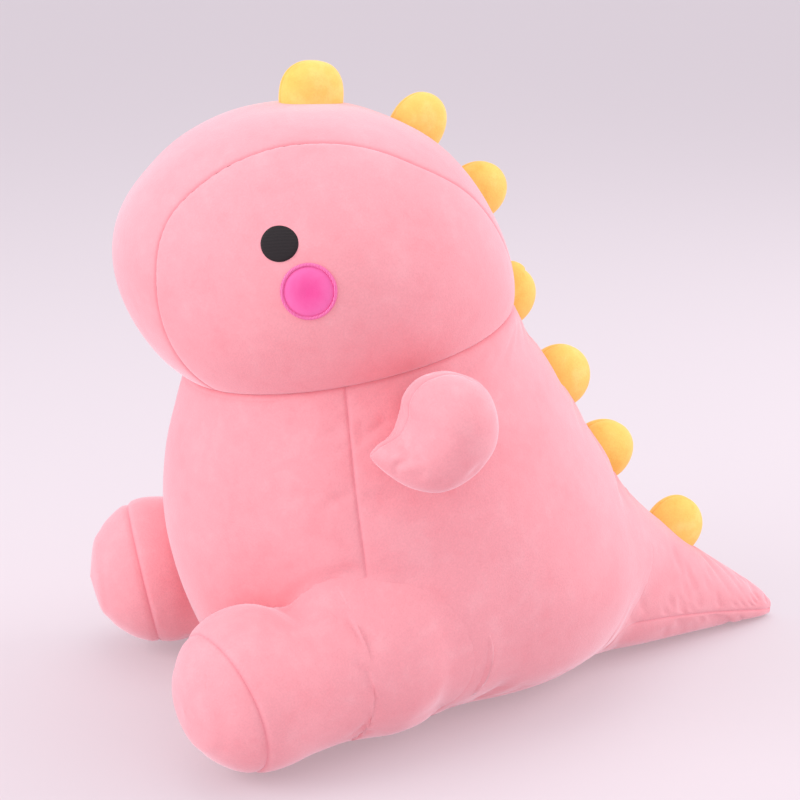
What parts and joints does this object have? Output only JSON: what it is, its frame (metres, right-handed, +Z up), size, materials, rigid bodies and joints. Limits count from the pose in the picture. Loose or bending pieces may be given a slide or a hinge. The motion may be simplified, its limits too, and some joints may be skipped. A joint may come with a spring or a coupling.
{
  "type": "plush dinosaur",
  "caption": "Seated plush dinosaur of pink cloth with a row of soft yellow spikes, round stitched eyes and cheeks, a head that turns, and legs, arms and a tail that flex.",
  "frame": {"origin": "on the ground, under the middle of the body, on the flat of the seat", "axes": "+Z up, -Y towards the snout, +X towards the toy's left side"},
  "size_m": [0.36, 0.4637, 0.4045],
  "materials": {
    "pink_plush": "short brushed pile",
    "yellow_plush": "short brushed pile",
    "eye_thread": "satin stitch",
    "cheek_cloth": "flat cloth",
    "cheek_thread": "satin stitch",
    "stuffing": "loose fibre"
  },
  "bodies": {
    "torso": {"belly_panel": "pink_plush", "side_panel_left": "pink_plush", "side_panel_right": "pink_plush", "seat_panel": "pink_plush", "body_stuffing": "stuffing", "spike_4_left": "yellow_plush", "spike_4_right": "yellow_plush", "spike_4_stuffing": "stuffing", "spike_5_left": "yellow_plush", "spike_5_right": "yellow_plush", "spike_5_stuffing": "stuffing", "spike_6_left": "yellow_plush", "spike_6_right": "yellow_plush", "spike_6_stuffing": "stuffing"},
    "head": {"head_band": "pink_plush", "face_panel_left": "pink_plush", "face_panel_right": "pink_plush", "head_stuffing": "stuffing", "eye_left": "eye_thread", "cheek_left": "cheek_cloth", "cheek_border_left": "cheek_thread", "eye_right": "eye_thread", "cheek_right": "cheek_cloth", "cheek_border_right": "cheek_thread", "spike_1_left": "yellow_plush", "spike_1_right": "yellow_plush", "spike_1_stuffing": "stuffing", "spike_2_left": "yellow_plush", "spike_2_right": "yellow_plush", "spike_2_stuffing": "stuffing", "spike_3_left": "yellow_plush", "spike_3_right": "yellow_plush", "spike_3_stuffing": "stuffing"},
    "left_arm": {"arm_outer_panel_left": "pink_plush", "arm_inner_panel_left": "pink_plush", "arm_stuffing_left": "stuffing"},
    "right_arm": {"arm_outer_panel_right": "pink_plush", "arm_inner_panel_right": "pink_plush", "arm_stuffing_right": "stuffing"},
    "left_leg": {"leg_outer_panel_left": "pink_plush", "leg_inner_panel_left": "pink_plush", "sole_panel_left": "pink_plush", "leg_stuffing_left": "stuffing"},
    "right_leg": {"leg_outer_panel_right": "pink_plush", "leg_inner_panel_right": "pink_plush", "sole_panel_right": "pink_plush", "leg_stuffing_right": "stuffing"},
    "tail": {"tail_panel_left": "pink_plush", "tail_panel_right": "pink_plush", "tail_underside": "pink_plush", "tail_stuffing": "stuffing", "spike_7_left": "yellow_plush", "spike_7_right": "yellow_plush", "spike_7_stuffing": "stuffing"}
  },
  "joints": [
    {"name": "head_turn", "type": "hinge", "parent": "torso", "child": "head", "pos_m": [0, -0.035, 0.234], "axis": [0, -0.1961, 0.9806], "range_deg": [-18, 18], "stiffness_Nm_per_rad": 1},
    {"name": "left_arm_swing", "type": "hinge", "parent": "torso", "child": "left_arm", "pos_m": [0.147, -0.022, 0.203], "axis": [-1, 0, 0], "range_deg": [-30, 60], "stiffness_Nm_per_rad": 0.06},
    {"name": "right_arm_swing", "type": "hinge", "parent": "torso", "child": "right_arm", "pos_m": [-0.147, -0.022, 0.203], "axis": [-1, 0, 0], "range_deg": [-30, 60], "stiffness_Nm_per_rad": 0.06},
    {"name": "left_leg_splay", "type": "hinge", "parent": "torso", "child": "left_leg", "pos_m": [0.088, -0.055, 0.0585], "axis": [0, 0, 1], "range_deg": [0, 22], "stiffness_Nm_per_rad": 0.5},
    {"name": "right_leg_splay", "type": "hinge", "parent": "torso", "child": "right_leg", "pos_m": [-0.088, -0.055, 0.0585], "axis": [0, 0, -1], "range_deg": [0, 22], "stiffness_Nm_per_rad": 0.5},
    {"name": "tail_wag", "type": "hinge", "parent": "torso", "child": "tail", "pos_m": [0, 0.13, 0.04], "axis": [0, 0, 1], "range_deg": [-18, 18], "stiffness_Nm_per_rad": 0.3}
  ]
}
